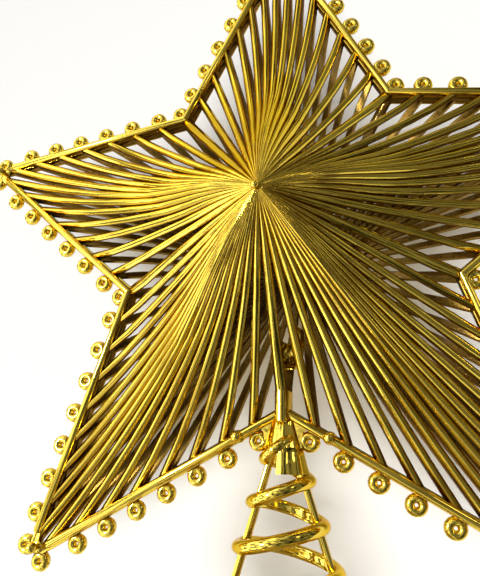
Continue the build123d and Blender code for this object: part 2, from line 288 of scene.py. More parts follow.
# Corners of an outline, across as a share of the width and down as a share of the depth.
roof_shares = [
    (-0.34, 1), (-0.5, 0.62), (-0.43, 0.36), (-0.13, 0.04), (0, 0),
    (0.13, 0.04), (0.43, 0.36), (0.5, 0.62), (0.34, 1)]
half_roof_shares = [(0, 1)] + roof_shares[4:]


def rib_width(edge, i, radius, station):
    """Width of a rib, no more than its share of the way round the hub."""
    after = edge.angles[i + 1] if i < edge.count else 2 * edge.tip_angle - edge.angles[i]
    before = edge.angles[i - 1] if i else -edge.angles[1]
    free = INNER_WIDTH + ((OUTER_WIDTH if i else NOTCH_WIDTH) - INNER_WIDTH) * station
    return min(free, RIB_OVERLAP * radius * (after - before) / 2)


def rib_lean(edge, angle, radius):
    """Slope of the panel's face across a rib."""
    after = ridge_height(edge, min(angle + LEAN_STEP, edge.tip_angle), radius)
    before = ridge_height(edge, angle - LEAN_STEP, radius)
    return (after - before) / (2 * LEAN_STEP * radius)


def rib_outlines(edge, i):
    """Outlines of a rib from the hub to the frame. Rib 0 is the half rib at the notch."""
    angle = edge.angles[i]
    way = edge.way(angle)
    side = edge.way(angle + pi / 2)
    run = edge.reach(angle)
    bevel = side.dot(edge.outward) / way.dot(edge.outward)
    rows = []
    for station in (RIB_ROOT / run,) + station_shares:
        radius = run * station
        height = ridge_height(edge, angle, radius)
        width = rib_width(edge, i, radius, station)
        lean = rib_lean(edge, angle, radius) * (1 - station) if i else 0
        row = []
        for across, down in roof_shares if i else half_roof_shares:
            shift = across * width
            drop = RIB_DEPTH if down == 1 else down * min(RIB_DEPTH, width)
            reach = radius + (RIB_BURY - shift * bevel if station == 1.0 else 0)
            point = way * reach + side * shift
            row.append(on_star(point.x, point.y, height - drop + shift * lean))
        rows.append(row)
    return rows


rib_panels = {}
for name, edge in edges.items():
    ribs = [extruded("rib", rib_outlines(edge, i)) for i in range(edge.count + 1)]
    rib_panels[name] = smoothed(joined(f"front_ribs_{name}", ribs), RIB_SHARP)
print("rib panels on the left of the front:", len(rib_panels))

# %% [markdown]
# ## The frame bars and their eyelet rings
# A frame bar has a broad foot, a step and a round bead on top, which catches the light as one
# bright line. At a notch two bars are mitred together. At a tip the foot is cut square and the
# bead stops short of the pin.
# The rings are half rounds on each moulding: one torus is cut at the parting plane and copied
# along the bar.

# %% One eyelet ring
RING_MIDDLE = 1.38
RING_THICK = 1.02
RING_HEIGHT = 1.25
RING_SIDES = 16
RING_ROUND_SIDES = 10


def half_ring():
    """The half of a torus in front of the parting plane, modelled lying flat."""
    deselect()
    bpy.ops.mesh.primitive_torus_add(
        major_segments=RING_SIDES, minor_segments=RING_ROUND_SIDES,
        major_radius=RING_MIDDLE * MM, minor_radius=RING_THICK * MM)
    ring = bpy.context.object
    bpy.ops.object.mode_set(mode="EDIT")
    bpy.ops.mesh.select_all(action="SELECT")
    bpy.ops.transform.resize(value=(1, 1, RING_HEIGHT / RING_THICK))
    bpy.ops.mesh.bisect(
        plane_co=(0, 0, 0), plane_no=(0, 0, 1), use_fill=False, clear_inner=True)
    bpy.ops.object.mode_set(mode="OBJECT")
    ring.name = "eyelet"
    return ring


def placed_copy(model, spot, turn):
    """A copy of a piece that is modelled lying flat, stood up at a spot of the star's plane."""
    copy = copied(model)
    stand = Matrix(((1, 0, 0), (0, 0, -1), (0, 1, 0))).to_4x4()
    copy.data.transform(stand @ Matrix.Rotation(turn, 4, "Z"))
    copy.data.transform(Matrix.Translation(on_star(spot.x, spot.y, 0)))
    return copy


eyelet = half_ring()
print("eyelet faces:", len(eyelet.data.polygons))

# %% Bars
RING_OFFSET = 3.0
NOTCH_RING_OFFSET = 3.2
TIP_RING_REACH = 2.0
TIP_RING_SIDE = 2.75
TIP_CUT = 0.3
BEAD_STOP = 3.0
BEAD_FOOT = 0.7
BEAD_WIDEST = 1.87
BAR_SHARP = 45
# Outlines of foot and bead, as across from the middle of the bar and up from the parting plane.
foot_outline = [
    (-BAR_HALF, 0), (-BAR_HALF, 0.75), (-1.05, 0.98), (-0.8, 1.05),
    (0.8, 1.05), (1.05, 0.98), (BAR_HALF, 0.75), (BAR_HALF, 0)]
bead_outline = [
    (-0.55, BEAD_FOOT), (-0.62, 1.15), (-0.88, 1.5), (-0.95, BEAD_WIDEST), (-0.85, 2.3),
    (-0.5, 2.67), (0, 2.8), (0.5, 2.67),
    (0.85, 2.3), (0.95, BEAD_WIDEST), (0.88, 1.5), (0.62, 1.15), (0.55, BEAD_FOOT)]
# The rounded end of a bead: distance from its end and share of its width. It keeps more height.
bead_end = ((0.5, 1.0), (0.15, 0.85), (0.0, 0.5))
END_HEIGHT = 0.6
# Of the two bars at a notch, one carries the notch's ring.
bars_with_notch_ring = ("top_left", "left_lower")


def mitre(edge, way, across):
    """How far along the bar a corner lies from the end of its centre line, for a mitre that
    runs along a spoke."""
    return -across * cross(edge.outward, way) / cross(edge.along, way)


def bar_outline(edge, outline, start, stops):
    row = []
    for (across, height), stop in zip(outline, stops):
        point = start + edge.along * stop + edge.outward * across
        row.append(on_star(point.x, point.y, height))
    return row


def notch_outline(edge, outline):
    """An outline at the notch, cut along the spoke of the notch."""
    stops = [mitre(edge, edge.notch_way, across) for across, height in outline]
    return bar_outline(edge, outline, edge.notch, stops)


def bar_foot(edge):
    cut = edge.tip.length - TIP_CUT
    ends = []
    for across, height in foot_outline:
        short = cut - (edge.tip + edge.outward * across).dot(edge.tip_way)
        square = short / edge.along.dot(edge.tip_way)
        ends.append(min(mitre(edge, edge.tip_way, across), square))
    last = bar_outline(edge, foot_outline, edge.tip, ends)
    return extruded("foot", [notch_outline(edge, foot_outline), last])


def bar_bead(edge):
    stop = (edge.pin - edge.notch).dot(edge.along) - BEAD_STOP
    rows = [notch_outline(edge, bead_outline)]
    for back, grow in bead_end:
        tall = END_HEIGHT + (1 - END_HEIGHT) * grow
        outline = [(u * grow, BEAD_FOOT + (h - BEAD_FOOT) * tall) for u, h in bead_outline]
        rows.append(bar_outline(edge, outline, edge.notch, [stop - back] * len(outline)))
    return extruded("bead", rows)


def ring_spots(name, edge):
    start = edge.notch + edge.outward * RING_OFFSET
    spots = [start + edge.along * (RING_PITCH * i) for i in range(1, edge.count)]
    across = (edge.outward - edge.tip_way * edge.outward.dot(edge.tip_way)).normalized()
    spots.append(edge.pin + edge.tip_way * TIP_RING_REACH + across * TIP_RING_SIDE)
    if name in bars_with_notch_ring:
        spots.append(edge.notch + edge.notch_way * NOTCH_RING_OFFSET)
    return spots


def frame_bar(name, edge):
    parts = [bar_foot(edge), bar_bead(edge)]
    turn = atan2(edge.outward.y, edge.outward.x)
    parts += [placed_copy(eyelet, spot, turn) for spot in ring_spots(name, edge)]
    return smoothed(joined(f"front_bar_{name}", parts), BAR_SHARP)


bars = {name: frame_bar(name, edge) for name, edge in edges.items()}
bpy.data.objects.remove(eyelet)
print("frame bars on the left of the front:", len(bars))

# %% [markdown]
# ## The hub
# All the ribs meet under a small ball. Under it a low cone fills the middle, so that nothing shows
# through.

# %% Hub
FINIAL_RADIUS = 0.85
FINIAL_RISE = 0.35
FINIAL_STALK = 0.55
FINIAL_SINK = 1.5
FINIAL_X = -0.5
FINIAL_SIDES = 20
CORE_SIDES = 24
ROUND_SHARP = 50
# Radius of the cone and height above the apex.
core_profile = [(5.0, -5.6), (5.0, -4.6), (1.2, -1.2), (0.9, -0.3)]
# A ball is drawn from below its middle to its crown, which ends in a tiny flat.
BALL_START = -50
BALL_SWEEP = 140
BALL_STEPS = 8
BALL_FLAT = 0.02


def turned(name, profile, x, y, sides):
    """A round piece from a profile of (radius, height), standing out of the star's face."""
    turns = [2 * pi * k / sides for k in range(sides)]
    rows = []
    for radius, height in profile:
        ring = [(radius * cos(turn), radius * sin(turn)) for turn in turns]
        rows.append([on_star(x + px, y + py, height) for px, py in ring])
    return extruded(name, rows)


def ball_profile(radius, middle, stalk, foot):
    """Profile of a ball on a stalk, from its foot up to its crown."""
    profile = [(stalk, foot)]
    for k in range(BALL_STEPS + 1):
        angle = radians(BALL_START + BALL_SWEEP * k / BALL_STEPS)
        profile.append((max(radius * cos(angle), BALL_FLAT), middle + radius * sin(angle)))
    return profile


core_rows = [(radius, APEX + rise) for radius, rise in core_profile]
core = turned("core", core_rows, 0, 0, CORE_SIDES)
finial_rows = ball_profile(FINIAL_RADIUS, APEX + FINIAL_RISE, FINIAL_STALK, APEX - FINIAL_SINK)
finial = turned("finial", finial_rows, FINIAL_X, 0, FINIAL_SIDES)
hub = smoothed(joined("front_hub", [core, finial]), ROUND_SHARP)
print("hub box, mm:", size_mm(hub))

# %% [markdown]
# ## The pins
# Ball-headed pins hold the two halves together at the five tips, and two more sit beside the neck.
# A pin has a post, which shows in the gap where the bead of the bar stops, and a ball on top.

# %% Pins
PIN_DISTANCE = 12.0
PIN_HEAD = 1.35
PIN_CROWN = 4.75
PIN_STALK = 0.85
PIN_STALK_FOOT = 2.1
PIN_SIDES = 18
POST_SIDES = 16
post_profile = [(1.5, 0.6), (1.5, 1.3), (1.35, 1.45), (0.7, 1.5), (0.62, 3.0)]


def pins(name, spots):
    head = ball_profile(PIN_HEAD, PIN_CROWN - PIN_HEAD, PIN_STALK, PIN_STALK_FOOT)
    parts = []
    for x, y in spots:
        parts.append(turned("post", post_profile, x, y, POST_SIDES))
        parts.append(turned("ball", head, x, y, PIN_SIDES))
    return smoothed(joined(name, parts), ROUND_SHARP)


tip_spots = [edges[name].pin for name in ("top_left", "left_upper", "foot_left_outer")]
tip_spots += [Vector((-x, y)) for x, y in tip_spots[1:]]
foot_edge = edges["foot_left_inner"]
neck_spot = foot_edge.notch + foot_edge.along * PIN_DISTANCE
tip_pins = pins("tip_pins", tip_spots)
neck_pins = pins("neck_pins", [neck_spot, Vector((-neck_spot.x, neck_spot.y))])

# %% [markdown]
# ## The coil
# The coil is one unbroken wire with a round outside and a flat inside, as it comes out of a
# two-part mould. Each half turn is a half circle whose ends lie on the parting plane, so the turns
# join smoothly there.

# %% Coil
WIRE_IN = 0.9
WIRE_OUT = 1.3
COIL_STEP = 4.6
HALF_TURNS = 10
HALF_TURN_STEPS = 18
COIL_START = 2.0
COIL_TOP_RADIUS = 3.0
COIL_GROWTH = 1.45
COIL_END_GAP = 0.7
COIL_SHARP = 60
coil_top = HUB_Z - 48.8
# Section of the wire, as out from the coil's axis and up.
wire_shape = [
    (-WIRE_IN, -1.15), (-0.85, -0.4), (-0.85, 0.4), (-WIRE_IN, 1.15), (-0.65, 1.42),
    (-0.1, 1.5), (0.5, 1.32), (0.98, 0.9), (1.24, 0.45), (WIRE_OUT, 0),
    (1.24, -0.45), (0.98, -0.9), (0.5, -1.32), (-0.1, -1.5), (-0.65, -1.42)]


def coil_knots():
    """Points on the parting plane through which the wire goes, from the neck to the foot.
    The last turn is level, and its end stops inside the wire before it."""
    knots = [(COIL_START, coil_top)]
    for k in range(1, HALF_TURNS + 1):
        side = 1 if k % 2 == 0 else -1
        knots.append((side * (COIL_TOP_RADIUS + COIL_GROWTH * k), coil_top - COIL_STEP * k))
    last_x, last_z = knots[-1]
    return knots + [(-last_x, last_z), (last_x + WIRE_IN + WIRE_OUT + COIL_END_GAP, last_z)]


def coil_rows():
    rows = []
    knots = coil_knots()
    for k, ((x0, z0), (x1, z1)) in enumerate(zip(knots, knots[1:])):
        front = -1 if k % 2 == 0 else 1
        middle_x, middle_z = (x0 + x1) / 2, (z0 + z1) / 2
        half_x, half_z = (x0 - x1) / 2, (z0 - z1) / 2
        radius = dist((x0, z0), (x1, z1)) / 2
        is_last = k == len(knots) - 2
        for s in range(HALF_TURN_STEPS + is_last):
            c, d = cos(pi * s / HALF_TURN_STEPS), front * sin(pi * s / HALF_TURN_STEPS)
            spot = Vector((middle_x + half_x * c, radius * d, middle_z + half_z * c))
            out = Vector((half_x * c / abs(half_x), d, 0)).normalized()
            rows.append([(spot + out * reach + Vector((0, 0, rise))) * MM
                         for reach, rise in wire_shape])
    return rows


coil = smoothed(extruded("coil", coil_rows()), COIL_SHARP)
print("coil faces:", len(coil.data.polygons))

# %% [markdown]
# ## Legs and neck
# Two straight legs run down inside the coil and tie its turns together. The neck is a waisted,
# fluted collar under the lowest notch, with a rounded stub that carries on the line of the notch
# rib, and a skirt on the right.

# %% Legs
LEG_SET_IN = 1.4
NECK_FOOT = 52.4
LEG_FOOT_Z = 0.65
FLAT_SHARP = 40
leg_shape = [
    (-0.8, -0.7), (-0.8, 0.7), (-0.55, 0.92), (0, 0.95), (0.55, 0.92),
    (0.8, 0.7), (0.8, -0.7), (0.55, -0.92), (0, -0.95), (-0.55, -0.92)]


def leg(name, side):
    slope = COIL_GROWTH / COIL_STEP
    rows = []
    for z in (HUB_Z - NECK_FOOT, LEG_FOOT_Z):
        x = COIL_TOP_RADIUS + slope * (coil_top - z) - LEG_SET_IN
        rows.append([Vector((side * (x + u), v, z)) * MM for u, v in leg_shape])
    return smoothed(extruded(name, rows), FLAT_SHARP)


leg_left = leg("leg_left", -1)
leg_right = leg("leg_right", 1)
print("leg box, mm:", size_mm(leg_left))

# %% Neck
FLUTE_DEPTH = 0.2
FLUTES = 9
COLLAR_STEPS = 40
SKIRT_WALL = 1.0
SKIRT_STEPS = 26
SKIRT_STEP = 4  # degrees
# Profiles of collar and skirt, as radius and drop below the hub.
neck_profile = [
    (2.9, 43.4), (2.75, 44.1), (2.85, 45.2), (3.2, 46.6),
    (3.7, 48.4), (4.2, 50.4), (4.55, 52.0), (4.5, NECK_FOOT)]
skirt_profile = [(4.55, 51.9), (4.9, 53.4), (5.35, 55.2), (5.75, 56.5)]
# Half arch of the stub, as across and forward, and its stations, as drop and share of its size.
stub_arch = [
    (1.55, 0.0), (1.6, 2.9), (1.45, 3.6), (1.05, 4.2), (0.45, 4.6),
    (-0.45, 4.6), (-1.05, 4.2), (-1.45, 3.6), (-1.6, 2.9), (-1.55, 0.0)]
stub_stations = ((38.4, 1.0), (45.2, 1.0), (45.45, 0.94))
# Points of the left gusset, as across and up from the hub. Top and foot lie behind the collar,
# and the knee and the heel shape the hollow lower edge.
GUSSET_RUN = 6.6
GUSSET_STEPS = 6
gusset_top = (-2.2, -43.2)
gusset_foot = (-2.2, -51.0)
gusset_knee = Vector((-3.9, -47.6))
gusset_heel = Vector((-4.3, -51.0))
gusset_heights = (0, 1.0, 1.25)


def fluted(radius, angle):
    """A point of the collar's round, which is drawn in by shallow upright flutes."""
    reach = radius - FLUTE_DEPTH * (1 - cos(FLUTES * angle)) / 2
    return reach * cos(angle), reach * sin(angle)


def collar():
    """Half of the waisted collar in front of the parting plane."""
    rows = []
    for radius, drop in neck_profile:
        ring = [fluted(radius, pi * k / COLLAR_STEPS) for k in range(COLLAR_STEPS + 1)]
        rows.append([on_star(x, -drop, height) for x, height in ring])
    return extruded("collar", rows)


def gusset(side):
    """A thin web between the collar and a foot bar, hollow along its lower edge."""
    arm = foot_edge.notch + foot_edge.along * GUSSET_RUN
    outline = [gusset_top, arm]
    for k in range(1, GUSSET_STEPS + 1):
        t = k / GUSSET_STEPS
        outline.append(
            arm * (1 - t) ** 2 + gusset_knee * (2 * t * (1 - t)) + gusset_heel * (t * t))
    outline.append(gusset_foot)
    rows = [[on_star(-side * x, y, height) for x, y in outline] for height in gusset_heights]
    return extruded("gusset", rows)


def skirt():
    """The curved wall that hangs from the right of the collar."""
    angles = [radians(SKIRT_STEP * k) for k in range(SKIRT_STEPS)]
    rows = []
    for radius, drop in skirt_profile:
        inside = radius - SKIRT_WALL
        wall = [fluted(radius, a) for a in angles]
        wall += [(inside * cos(a), inside * sin(a)) for a in reversed(angles)]
        rows.append([on_star(x, -drop, height) for x, height in wall])
    return extruded("skirt", rows)


def stub():
    """The rounded stub that carries on the notch rib and is cut off square over the collar."""
    rows = []
    for drop, grow in stub_stations:
        rows.append([on_star(u * grow, -drop, height * grow) for u, height in stub_arch])
    return extruded("stub", rows)


# The back half has no skirt, so it is copied from the front half before the skirt is joined on.
plain_neck = smoothed(joined("plain_neck", [collar(), gusset(-1), gusset(1), stub()]), FLAT_SHARP)
back_neck = mirrored(plain_neck, "back_neck", 1, -1)
front_neck = smoothed(joined("front_neck", [plain_neck, skirt()]), FLAT_SHARP)
print("neck box, mm:", size_mm(front_neck))

# %% [markdown]
# ## The light clip
# Inside the star, on the lowest notch rib of the back half, a split sleeve holds a small light.
# Its front is open and slit in two, so that it can spring, and its lips are rolled outward. It is
# drawn as rings of wall along its own axis.

# %% Light clip
CLIP_RADIUS = 4.0
CLIP_WALL = 1.1
CLIP_DROP = 29.0
CLIP_SINK = 0.35
CLIP_FLOOR = 9.06
CLIP_SLOPE = 0.692
CLIP_STEPS = 14
CLIP_END = 4.5  # half of the sleeve's length
CLIP_SLIT = 0.7  # half of the slit's width
CHAMFER_RUN = 0.3
CHAMFER_TRIM = 0.25
LIP = 0.5
LIP_STEPS = 3
LIP_OUTER = 0.3
LIP_INNER = 0.9
# Angles from the open front, in degrees. The jaws run one degree into the back wall.
MOUTH = 32
JAW_END = 91
BACK_WALL = (90, 270)
clip_down = Vector((0, -1, CLIP_SLOPE)).normalized()
clip_out = Vector((0, CLIP_SLOPE, 1)).normalized()
clip_seat = Vector((0, -CLIP_DROP, -CLIP_FLOOR))
clip_middle = clip_seat + clip_out * (CLIP_RADIUS - CLIP_SINK)


def clip_wall(start, stop, low, high, lip):
    """Part of the sleeve's wall between two angles and between two places along its axis."""
    rows = []
    for place, trim in ((low, CHAMFER_TRIM), (low + CHAMFER_RUN, 0),
                        (high - CHAMFER_RUN, 0), (high, CHAMFER_TRIM)):
        outer, inner = [], []
        for k in range(CLIP_STEPS + 1):
            angle = radians(start + (stop - start) * k / CLIP_STEPS)
            roll = lip * max(0, 1 - k / LIP_STEPS)
            outer.append((CLIP_RADIUS - trim + roll * LIP_OUTER, angle))
            inner.append((CLIP_RADIUS - CLIP_WALL + trim + roll * LIP_INNER, angle))
        row = []
        for radius, angle in outer + inner[::-1]:
            seat = max(radius * cos(angle), CLIP_SINK - CLIP_RADIUS)
            across = Vector((radius * sin(angle), 0, 0))
            row.append(on_star(*(clip_middle + across + clip_out * seat + clip_down * place)))
        rows.append(row)
    return extruded("wall", rows)


walls = [clip_wall(*BACK_WALL, -CLIP_END, CLIP_END, 0)]
for low, high in ((-CLIP_END, -CLIP_SLIT), (CLIP_SLIT, CLIP_END)):
    for side in (1, -1):
        walls.append(clip_wall(side * MOUTH, side * JAW_END, low, high, LIP))
light_clip = smoothed(joined("light_clip", walls), FLAT_SHARP)
print("clip box, mm:", size_mm(light_clip))

# %% [markdown]
# ## Plated gold
# The finish is bright vacuum plating over moulded plastic: a thin metal film under clear lacquer.
# To the eye it is a smooth yellow metal with a faint grain, a little deeper in colour where the
# film is thin. The ribs also show fine streaks that run out from the hub, where the mould was cut
# and polished along them.

# %% Colours and nodes


def colour(code):
    """An sRGB hex code as linear values."""
    parts = [int(code[k:k + 2], 16) / 255 for k in (1, 3, 5)]
    linear = [c / 12.92 if c <= 0.04045 else ((c + 0.055) / 1.055) ** 2.4 for c in parts]
    return tuple(linear) + (1.0,)


def add_node(tree, kind, settings=None, inputs=None):
    """A node with its settings, and its inputs as values or as links from other nodes' outputs."""
    node = tree.nodes.new(kind)
    for key, value in (settings or {}).items():
        setattr(node, key, value)
    for key, value in (inputs or {}).items():
        if isinstance(value, bpy.types.NodeSocket):
            tree.links.new(value, node.inputs[key])
        else:
            node.inputs[key].default_value = value
    return node


def new_material(name):
    material = bpy.data.materials.new(name)
    material.use_nodes = True
    material.node_tree.nodes.clear()
    return material, material.node_tree


# %% Plated gold
# One streak is about 0.4 mm wide near the hub, 18 mm from its middle, and some 12 mm long.
STREAK_WIDTH = 0.4
STREAK_PLACE = 18
STREAK_LENGTH = 12
GRAIN_IN_STREAKS = 0.2  # height of the grain beside that of the streaks
FILM_PATCH = 14  # width of the patches where the film is thicker or thinner
GRAIN_STRENGTH = 0.5
NOISE_RANGE = (0.3, 0.7)  # most of a noise lies between these values
LACQUER = 0.2
LACQUER_ROUGHNESS = 0.06


def radial_place(tree, place):
    """Coordinates that run round the hub and out from it, so that a noise becomes streaks
    along the ribs."""
    split = add_node(tree, "ShaderNodeSeparateXYZ", None, {"Vector": place})
    rise = add_node(tree, "ShaderNodeMath", {"operation": "SUBTRACT"}, {
        0: split.outputs["Z"], 1: HUB_Z * MM})
    turn = add_node(tree, "ShaderNodeMath", {"operation": "ARCTAN2"}, {
        0: rise.outputs[0], 1: split.outputs["X"]})
    flat = add_node(tree, "ShaderNodeCombineXYZ", None, {
        "X": split.outputs["X"], "Z": rise.outputs[0]})
    reach = add_node(tree, "ShaderNodeVectorMath", {"operation": "LENGTH"}, {0: flat.outputs[0]})
    round_hub = add_node(tree, "ShaderNodeMath", {"operation": "MULTIPLY"}, {
        0: turn.outputs[0], 1: STREAK_PLACE / STREAK_WIDTH})
    outward = add_node(tree, "ShaderNodeMath", {"operation": "MULTIPLY"}, {
        0: reach.outputs["Value"], 1: 1 / (STREAK_LENGTH * MM)})
    streaks = add_node(tree, "ShaderNodeCombineXYZ", None, {
        "X": round_hub.outputs[0], "Y": outward.outputs[0]})
    return streaks.outputs[0]


def plated_gold(name, light, deep, roughness, grain_mm, grain_height_mm, streaks=False):
    """Vacuum-plated plastic: a mirror-like yellow film, hazed a little by the grain of the
    moulding under it."""
    material, tree = new_material(name)
    place = add_node(tree, "ShaderNodeTexCoord").outputs["Object"]
    film = add_node(tree, "ShaderNodeTexNoise", None, {
        "Vector": place, "Scale": 1 / (FILM_PATCH * MM), "Detail": 3.0})
    tone = add_node(tree, "ShaderNodeMix", {"data_type": "RGBA"}, {
        "Factor": film.outputs["Fac"], "A": colour(light), "B": colour(deep)})
    grain = add_node(tree, "ShaderNodeTexNoise", None, {
        "Vector": place, "Scale": 1 / (grain_mm * MM), "Detail": 2.0})
    height = grain.outputs["Fac"]
    if streaks:
        streak = add_node(tree, "ShaderNodeTexNoise", None, {
            "Vector": radial_place(tree, place), "Scale": 1.0})
        height = add_node(tree, "ShaderNodeMath", {"operation": "MULTIPLY_ADD"}, {
            0: height, 1: GRAIN_IN_STREAKS, 2: streak.outputs["Fac"]}).outputs[0]
    haze = add_node(tree, "ShaderNodeMapRange", None, {
        "Value": grain.outputs["Fac"], "From Min": NOISE_RANGE[0], "From Max": NOISE_RANGE[1],
        "To Min": roughness[0], "To Max": roughness[1]})
    bump = add_node(tree, "ShaderNodeBump", None, {
        "Height": height, "Strength": GRAIN_STRENGTH, "Distance": grain_height_mm * MM})
    # The tint keeps the film yellow where it is seen at a slant.
    shader = add_node(tree, "ShaderNodeBsdfPrincipled", None, {
        "Base Color": tone.outputs["Result"], "Specular Tint": tone.outputs["Result"],
        "Metallic": 1.0, "Roughness": haze.outputs["Result"], "Normal": bump.outputs["Normal"],
        "Coat Weight": LACQUER, "Coat Roughness": LACQUER_ROUGHNESS})
    add_node(tree, "ShaderNodeOutputMaterial", None, {"Surface": shader.outputs["BSDF"]})
    return material


# The moulding's own grain is finer than 0.1 mm. That would not show, so every grain is coarser.
# Ribs: mirror-bright, with a silky sheen along each rib that breaks its highlight into threads.
rib_gold = plated_gold(
    "plated_gold_ribs", "#EED654", "#D8B03C", (0.05, 0.12), 0.6, 0.12, streaks=True)
# Frame, pins and hub: a polished surface, so that the beads and balls show clean bright lines.
frame_gold = plated_gold("plated_gold_frame", "#F0D858", "#DCB642", (0.06, 0.13), 0.9, 0.02)
# Coil and legs: the smoothest part of the mould, which gives long unbroken reflections.
coil_gold = plated_gold("plated_gold_coil", "#F0D858", "#DCB642", (0.04, 0.1), 2.0, 0.02)
# Neck: a thick wall that has sunk a little in cooling, so its reflections waver.
neck_gold = plated_gold("plated_gold_neck", "#F0D858", "#DCB642", (0.05, 0.12), 4.0, 0.25)
# The plating is thrown on from outside, so the flanks and the inside of the ribs, and the walls of
# the bars that look inward, get only a thin film. This dull brownish colour on every face that
# looks away from the star's face is also painted shade: it darkens the grooves between the ribs
# and the inner walls of the bars, where shade falls.
thin_plating_and_painted_shade = plated_gold("thin_plating_and_painted_groove_shade", "#A88A40", "#7C5E24", (0.25, 0.4), 0.6, 0.04)
finishes = (rib_gold, frame_gold, coil_gold, neck_gold, thin_plating_and_painted_shade)
print("materials:", [finish.name for finish in finishes])

# %% [markdown]
# ## Copies for the right side and the back half
# The left front pieces are done, so the rest are mirrored copies. Each finished piece takes the
# place of its solid node, which is hidden, and hangs under the empty of the root body.

# %% Finish every piece
FLANK_TURN = 0.45  # a rib's face that looks outward less than this is a flank
WALL_TURN = 0.5  # a bar's face that looks inward more than this is its inner wall


def on_flank(face, node):
    """True for the faces of a rib that don't look out of the star."""
    outward = -1 if node.startswith("front") else 1
    return face.normal.y * outward < FLANK_TURN


def on_inner_wall(face, node):
    """True for the faces of a bar, below the round of its bead, that look into the star."""
    edge = edges[node.split("_bar_")[1].replace("right", "left")]
    side = -1 if "right" in node else 1
    spot = Vector((side * face.center.x, face.center.z)) / MM - Vector((0, HUB_Z))
    way = Vector((side * face.normal.x, face.normal.z))
    is_low = abs(face.center.y) < BEAD_WIDEST * MM
    is_bar = spot.dot(edge.outward) - edge.distance < BAR_HALF
    return is_low and is_bar and way.dot(edge.outward) < -WALL_TURN


def finished(piece, node, material):
    """Gives a piece its finish and puts it in the place of its solid node."""
    piece.name = f"{node}_piece"
    piece.data.materials.clear()
    piece.data.materials.append(material)
    # Faces that look away from the star's face get the dull brown finish: thin plating and painted
    # shade in the grooves and inside the bars.
    for kind, is_thin_and_shaded in (("_ribs_", on_flank), ("_bar_", on_inner_wall)):
        if kind in node:
            piece.data.materials.append(thin_plating_and_painted_shade)
            for face in piece.data.polygons:
                face.material_index = 1 if is_thin_and_shaded(face, node) else 0
    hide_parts(node)
    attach(piece, "root")


for models, kind, material in ((rib_panels, "ribs", rib_gold), (bars, "bar", frame_gold)):
    for name, model in models.items():
        other = name.replace("left", "right")
        copies = {f"front_{kind}_{other}": (-1, 1), f"back_{kind}_{name}": (1, -1),
                  f"back_{kind}_{other}": (-1, -1)}
        done = {node: mirrored(model, f"{node}_piece", *sides) for node, sides in copies.items()}
        done[f"front_{kind}_{name}"] = model
        for node, piece in done.items():
            finished(piece, node, material)
back_hub = mirrored(hub, "back_hub", 1, -1)
for piece, node, material in (
        (hub, "front_hub", frame_gold), (back_hub, "back_hub", frame_gold),
        (tip_pins, "tip_pins", frame_gold), (neck_pins, "neck_pins", frame_gold),
        (coil, "coil", coil_gold), (leg_left, "leg_left", coil_gold),
        (leg_right, "leg_right", coil_gold), (front_neck, "front_neck", neck_gold),
        (back_neck, "back_neck", neck_gold), (light_clip, "light_clip", rib_gold)):
    finished(piece, node, material)

# %% [markdown]
# ## Stage, light and camera
# The star stands on a small pale table in front of a pale sheet, which catches its soft shadow
# between the ribs. The sheet shows from the front only, so that the back can be looked at too.
# Bright metal shows whatever is round it, so it is lit by a tent of thin cloth, as a jeweller's
# piece would be. A lamp outside makes the cloth bright on the left, and it falls off to dark on
# the right. The cloth hangs in folds, and each rib draws them out into bright and dark lines. The
# tent isn't in the picture: only the metal shows it.
# A broad lamp low behind the camera lights the paper, so that the star's shadow hides behind the
# star, and one small lamp on the left gives the hard highlights. A weak one on the right draws
# thin gold lines on the dark side. The room is plain and pale, but gives the paper only a little
# light. From here on, lengths are in metres.

# %% Stage
TABLE_RADIUS = 0.034
TABLE_THICK = 0.004
TABLE_MIDDLE_Z = -0.0022
TABLE_SIDES = 96
SHEET_SIZE = 0.9
SHEET_PLACE = (0, 0.036, 0.3)
PAPER_TOOTH = 2 * MM  # the real tooth is some 0.2 mm, too fine to show
PAPER_TOOTH_HEIGHT = 0.1 * MM


def matt_paper(name, code, one_sided):
    """Matt paper: an even pale face with a fine tooth and next to no gloss."""
    material, tree = new_material(name)
    place = add_node(tree, "ShaderNodeTexCoord").outputs["Object"]
    tooth = add_node(tree, "ShaderNodeTexNoise", None, {
        "Vector": place, "Scale": 1 / PAPER_TOOTH, "Detail": 3.0})
    bump = add_node(tree, "ShaderNodeBump", None, {
        "Height": tooth.outputs["Fac"], "Strength": 0.05, "Distance": PAPER_TOOTH_HEIGHT})
    paper = add_node(tree, "ShaderNodeBsdfPrincipled", None, {
        "Base Color": colour(code), "Roughness": 0.9, "Specular IOR Level": 0.1,
        "Normal": bump.outputs["Normal"]})
    surface = paper.outputs["BSDF"]
    if one_sided:
        side = add_node(tree, "ShaderNodeNewGeometry")
        clear = add_node(tree, "ShaderNodeBsdfTransparent")
        surface = add_node(tree, "ShaderNodeMixShader", None, {
            0: side.outputs["Backfacing"], 1: surface, 2: clear.outputs["BSDF"]}).outputs["Shader"]
    add_node(tree, "ShaderNodeOutputMaterial", None, {"Surface": surface})
    return material


deselect()
bpy.ops.mesh.primitive_cylinder_add(
    vertices=TABLE_SIDES, radius=TABLE_RADIUS, depth=TABLE_THICK, location=(0, 0, TABLE_MIDDLE_Z))
table = bpy.context.object
table.name = "pale_table"
table.visible_shadow = False
table.data.materials.append(matt_paper("pale_table_paper", "#F4F2EE", False))
bpy.ops.mesh.primitive_plane_add(
    size=SHEET_SIZE, location=SHEET_PLACE, rotation=(radians(90), 0, 0))
sheet = bpy.context.object
sheet.name = "sheet_behind"
sheet.data.materials.append(matt_paper("pale_sheet_paper", "#FAF9F6", True))

# %% Light tent
TENT_RADIUS = 0.8
TENT_LEFT = 1.85
TENT_RIGHT = 0.13
